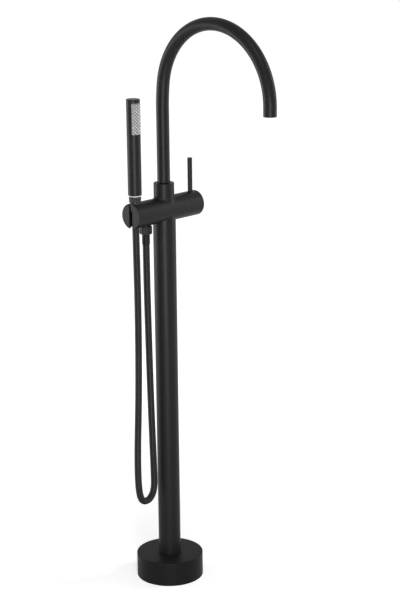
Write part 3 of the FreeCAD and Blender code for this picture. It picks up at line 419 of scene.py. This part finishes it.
def smooth_route(points, spacing):
    """Evenly spaced points on the NURBS spline that has the route's points as control points."""
    curve = bpy.data.curves.new("hose_route", "CURVE")
    curve.dimensions = "3D"
    spline = curve.splines.new("NURBS")
    spline.points.add(len(points) - 1)
    spline.points.foreach_set("co", np.column_stack([points, np.ones(len(points))]).ravel())
    spline.order_u = 3
    spline.use_endpoint_u = True
    spline.resolution_u = 48
    holder = bpy.data.objects.new("hose_route", curve)
    line = bpy.data.meshes.new_from_object(holder)
    raw = np.empty(len(line.vertices) * 3)
    line.vertices.foreach_get("co", raw)
    raw = raw.reshape(-1, 3)
    bpy.data.objects.remove(holder)
    bpy.data.curves.remove(curve)
    bpy.data.meshes.remove(line)
    along = np.concatenate([[0], np.cumsum(np.linalg.norm(np.diff(raw, axis=0), axis=1))])
    even = np.linspace(0, along[-1], round(along[-1] / spacing) + 1)
    return np.column_stack([np.interp(even, along, raw[:, i]) for i in range(3)]), along[-1]


def wound_reach(points, length, radius, pitch, groove, sides):
    """The wound hose's radius at each point of its line and each turn: it dips once a pitch, on a helix.

    The phase is the way along the line over the pitch, plus the turn about the line. The dip is the
    groove's depth by a bell curve of the phase.
    """
    groove_share = 0.16
    turn = np.linspace(0, 1, sides, endpoint=False)
    phase = np.linspace(0, length, points)[:, None] / pitch + turn
    return radius - groove * np.exp(-((phase % 1 - 0.5) / groove_share) ** 2)


hose_line, hose_length = smooth_route(np.array(HOSE_ROUTE), HOSE_STEP)
# a level direction through the loop, which the hose never runs along, keeps the tube from twisting
THROUGH_LOOP = (-0.28, 0.96, 0.0)
hose_side = np.cross(along_line(hose_line), THROUGH_LOOP)
# a real hose is wound about every 2 mm, and 3 mm is as fine as shows
hose_reach = wound_reach(len(hose_line), hose_length, HOSE_RADIUS, HOSE_PITCH, HOSE_GROOVE, HOSE_SIDES)
hose_points, hose_faces = swept_tube(hose_line, hose_side, hose_reach)
hose_black = black_coat("black_plated_interlock_hose", "#161617", 0.4, 1.2, 0.1, 1.23)
hose = make_mesh_object("wound_hose", hose_points, hose_faces, hose_black)
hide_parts("shower_hose")
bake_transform(hose)

# ---------------------------------------------------------------- floor, room and lamps
# A plain white floor that keeps the object's shadow, in a white studio with a dim room light. A low strip
# lamp stands beside the camera and a tall one on the right, a soft box lights from behind on the left,
# and another hangs high in front.
WHITE = (1.0, 1.0, 1.0, 1.0)
LAMP_AIM = Vector((0, 0, 0.6))
scene = bpy.context.scene


def background_rays(tree):
    """1 for rays that show the background, straight, in gloss or through glass, and 0 for all others."""
    path = add_node(tree, "ShaderNodeLightPath")
    straight = add_node(tree, "ShaderNodeMath", operation="MAXIMUM",
                        links={0: path.outputs["Is Camera Ray"], 1: path.outputs["Is Glossy Ray"]})
    shown = add_node(tree, "ShaderNodeMath", operation="MAXIMUM",
                     links={0: straight.outputs["Value"], 1: path.outputs["Is Transmission Ray"]})
    return shown.outputs["Value"]


floor_material, tree = new_material("white_floor")
place = add_node(tree, "ShaderNodeTexCoord")
away = add_node(tree, "ShaderNodeVectorMath", {0: place.outputs["Object"]}, operation="LENGTH")
# the floor's own white fades in from 0.15 m to 1.3 m away, so that the shadow shows round the foot
fade = add_node(tree, "ShaderNodeMapRange", {"Value": away.outputs["Value"]},
                interpolation_type="SMOOTHSTEP", From_Min=0.15, From_Max=1.3, To_Min=0.5, To_Max=0.83)
white = add_node(tree, "ShaderNodeMath", {0: fade.outputs["Result"], 1: background_rays(tree)},
                 operation="MULTIPLY")
glow = add_node(tree, "ShaderNodeEmission", {"Strength": white.outputs["Value"]}, Color=WHITE)
paint = add_node(tree, "ShaderNodeBsdfDiffuse", Color=(0.8, 0.8, 0.8, 1.0))
finish_material(tree, add_node(tree, "ShaderNodeAddShader", {0: paint.outputs[0], 1: glow.outputs[0]}))
bpy.ops.mesh.primitive_plane_add(size=30)
floor = bpy.context.object
floor.name = "floor"
floor.data.materials.append(floor_material)

world = bpy.data.worlds.new("white_room")
scene.world = world
world.use_nodes = True
world.node_tree.nodes.clear()
room = add_node(world.node_tree, "ShaderNodeBackground", Color=WHITE, Strength=0.25)
behind = add_node(world.node_tree, "ShaderNodeBackground", Color=WHITE, Strength=1.0)
shown = add_node(world.node_tree, "ShaderNodeMixShader",
                 {0: background_rays(world.node_tree), 1: room.outputs[0], 2: behind.outputs[0]})
add_node(world.node_tree, "ShaderNodeOutputWorld", {"Surface": shown.outputs[0]})


def soft_lamp(name, azimuth, distance, height, width, length, power):
    """A rectangular area lamp that faces the object, in metres and watts.

    Its azimuth in degrees turns right from the object's front.
    """
    light = bpy.data.lights.new(name, "AREA")
    light.shape = "RECTANGLE"
    light.size, light.size_y = width, length
    light.energy = power
    lamp = bpy.data.objects.new(name, light)
    turn = math.radians(azimuth)
    lamp.location = (distance * math.sin(turn), -distance * math.cos(turn), height)
    lamp.rotation_euler = (LAMP_AIM - lamp.location).to_track_quat("-Z", "Y").to_euler()
    lamp.visible_camera = False
    scene.collection.objects.link(lamp)


soft_lamp("front_strip", -41, 3.0, 0.35, 0.42, 0.7, 74)
soft_lamp("right_strip", 57, 2.6, 1.3, 0.35, 2.4, 34)
soft_lamp("left_box", -149, 2.6, 0.6, 0.9, 1.2, 34)
soft_lamp("top_box", -38, 1.7, 3.3, 0.9, 0.9, 25)

# ---------------------------------------------------------------- camera
# The photograph's view, from the front left and a little above, with a long lens. It is found from the
# image's height and the lens's focal length in pixels.
AIM = Vector((0.04794, -0.04796, 0.58376))
azimuth, elevation, roll = (math.radians(a) for a in (-45.01, 15.54, -0.645))
distance, focal_px, image_px = 3.4115, 1724.35, 600
back = Vector((math.sin(azimuth) * math.cos(elevation), -math.cos(azimuth) * math.cos(elevation),
               math.sin(elevation)))
level = Vector((math.cos(azimuth), math.sin(azimuth), 0))
upright = back.cross(level)
right = level * math.cos(roll) + upright * math.sin(roll)
up = upright * math.cos(roll) - level * math.sin(roll)
camera_data = bpy.data.cameras.new("photo_camera")
camera_data.sensor_width = 36
camera_data.lens = camera_data.sensor_width * focal_px / image_px
camera = bpy.data.objects.new("photo_camera", camera_data)
facing = Matrix((right, up, back)).transposed().to_4x4()
camera.matrix_world = Matrix.Translation(AIM + back * distance) @ facing
scene.collection.objects.link(camera)
scene.camera = camera
scene.view_settings.view_transform = "Standard"
